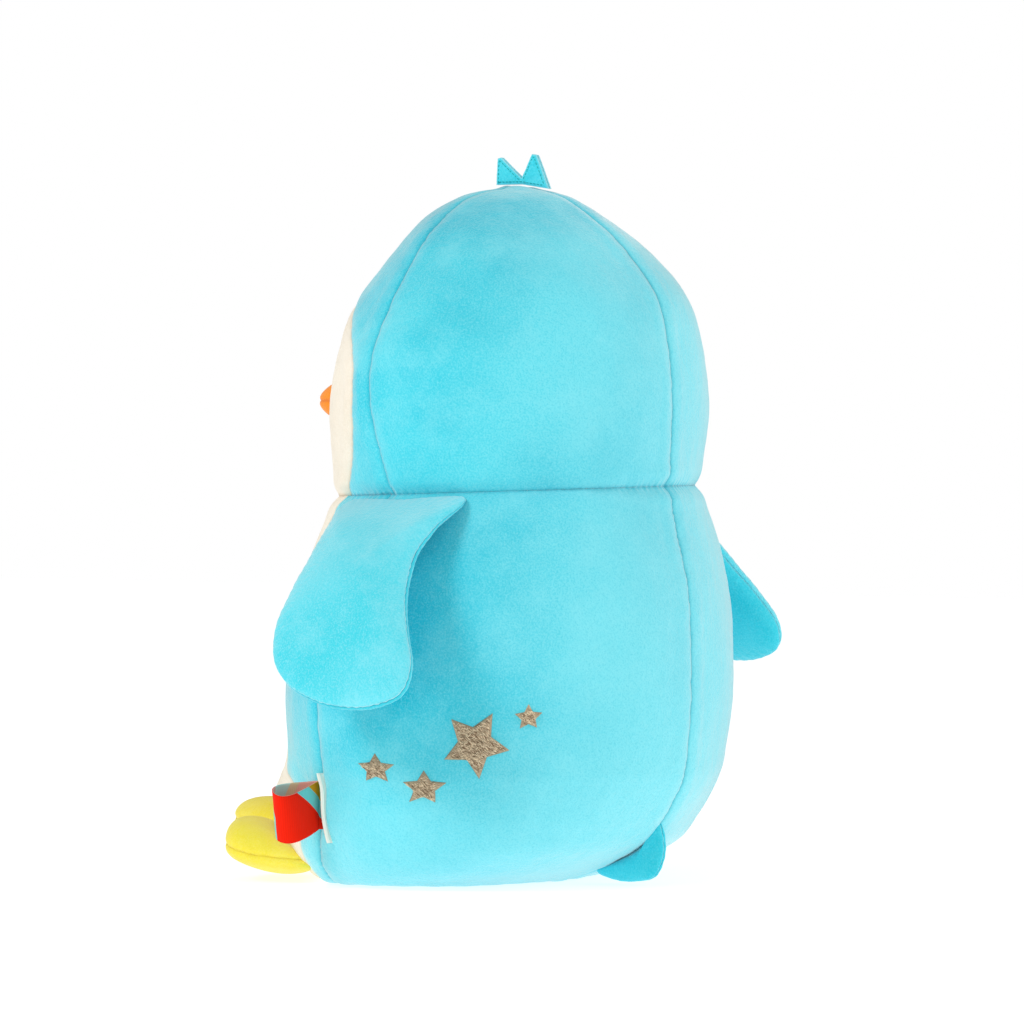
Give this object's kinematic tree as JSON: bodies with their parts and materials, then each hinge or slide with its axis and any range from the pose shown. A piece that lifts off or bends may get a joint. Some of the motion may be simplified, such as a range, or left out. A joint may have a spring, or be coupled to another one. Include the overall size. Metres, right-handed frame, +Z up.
{
  "type": "plush penguin",
  "caption": "Seated plush penguin with sewn stuffed panels, flapping wings, pad feet, a fin tail, a beak, a felted crest and a ribbon loop in the side seam.",
  "frame": {"origin": "underside of the base panel, under the middle of the body, on the surface it sits on", "axes": "+Z up; the penguin faces -Y and its left side is +X"},
  "size_m": [0.308, 0.2417, 0.304],
  "materials": {
    "blue_plush": "short-pile velour",
    "cream_plush": "short-pile velour",
    "yellow_plush": "short-pile velour",
    "orange_plush": "short-pile velour",
    "crest_plush": "cut velour with an overlocked edge",
    "gold_thread": "metallic embroidery, satin stitch",
    "dark_thread": "embroidery, satin stitch",
    "woven_ribbon": "twill woven ribbon",
    "white_satin": "woven satin label",
    "polyester_stuffing": "loose fibre"
  },
  "bodies": {
    "torso": {"head_stuffing": "polyester_stuffing", "body_stuffing": "polyester_stuffing", "head_back_left_panel": "blue_plush", "head_back_right_panel": "blue_plush", "face_border_panel": "blue_plush", "face_patch": "cream_plush", "body_back_left_panel": "blue_plush", "body_back_right_panel": "blue_plush", "body_front_left_panel": "blue_plush", "body_front_right_panel": "blue_plush", "belly_patch": "cream_plush", "base_panel": "blue_plush", "beak_upper_panel": "orange_plush", "beak_lower_panel": "orange_plush", "beak_stuffing": "polyester_stuffing", "eye_left": "dark_thread", "eye_right": "dark_thread", "star_1": "gold_thread", "star_2": "gold_thread", "star_3": "gold_thread", "star_4": "gold_thread", "care_label": "white_satin"},
    "wing_left": {"wing_left_outer_panel": "blue_plush", "wing_left_inner_panel": "blue_plush", "wing_left_stuffing": "polyester_stuffing"},
    "wing_right": {"wing_right_outer_panel": "blue_plush", "wing_right_inner_panel": "blue_plush", "wing_right_stuffing": "polyester_stuffing"},
    "foot_left": {"foot_left_upper_panel": "yellow_plush", "foot_left_sole_panel": "yellow_plush", "foot_left_stuffing": "polyester_stuffing"},
    "foot_right": {"foot_right_upper_panel": "yellow_plush", "foot_right_sole_panel": "yellow_plush", "foot_right_stuffing": "polyester_stuffing"},
    "tail": {"tail_left_panel": "blue_plush", "tail_right_panel": "blue_plush", "tail_stuffing": "polyester_stuffing"},
    "crest": {"crest_left_layer": "crest_plush", "crest_right_layer": "crest_plush"},
    "ribbon": {"ribbon_loop": "woven_ribbon"}
  },
  "joints": [
    {"name": "wing_left_hinge", "type": "hinge", "parent": "torso", "child": "wing_left", "pos_m": [0.0845, 0.004, 0.1625], "axis": [0.0697, -0.997, -0.035], "range_deg": [-3, 65], "stiffness_Nm_per_rad": 0.12},
    {"name": "wing_right_hinge", "type": "hinge", "parent": "torso", "child": "wing_right", "pos_m": [-0.0845, 0.004, 0.1625], "axis": [0.0697, 0.997, 0.035], "range_deg": [-8, 57], "stiffness_Nm_per_rad": 0.12},
    {"name": "foot_left_hinge", "type": "hinge", "parent": "torso", "child": "foot_left", "pos_m": [0.048, -0.086, 0.009], "axis": [-0.9326, -0.361, 0], "range_deg": [-3, 12], "stiffness_Nm_per_rad": 0.15},
    {"name": "foot_right_hinge", "type": "hinge", "parent": "torso", "child": "foot_right", "pos_m": [-0.032, -0.0915, 0.009], "axis": [-1, 0, 0], "range_deg": [-3, 12], "stiffness_Nm_per_rad": 0.15},
    {"name": "tail_flex", "type": "hinge", "parent": "torso", "child": "tail", "pos_m": [0, 0.0575, 0.011], "axis": [0, 0.823, 0.5681], "range_deg": [-14, 14], "stiffness_Nm_per_rad": 0.02},
    {"name": "crest_flex", "type": "hinge", "parent": "torso", "child": "crest", "pos_m": [0, 0.004, 0.2912], "axis": [0, 1, 0], "range_deg": [-25, 25], "stiffness_Nm_per_rad": 0.004},
    {"name": "ribbon_flex", "type": "hinge", "parent": "torso", "child": "ribbon", "pos_m": [0.0912, -0.0405, 0.0345], "axis": [0, 0, 1], "range_deg": [-25, 8], "stiffness_Nm_per_rad": 0.002}
  ]
}
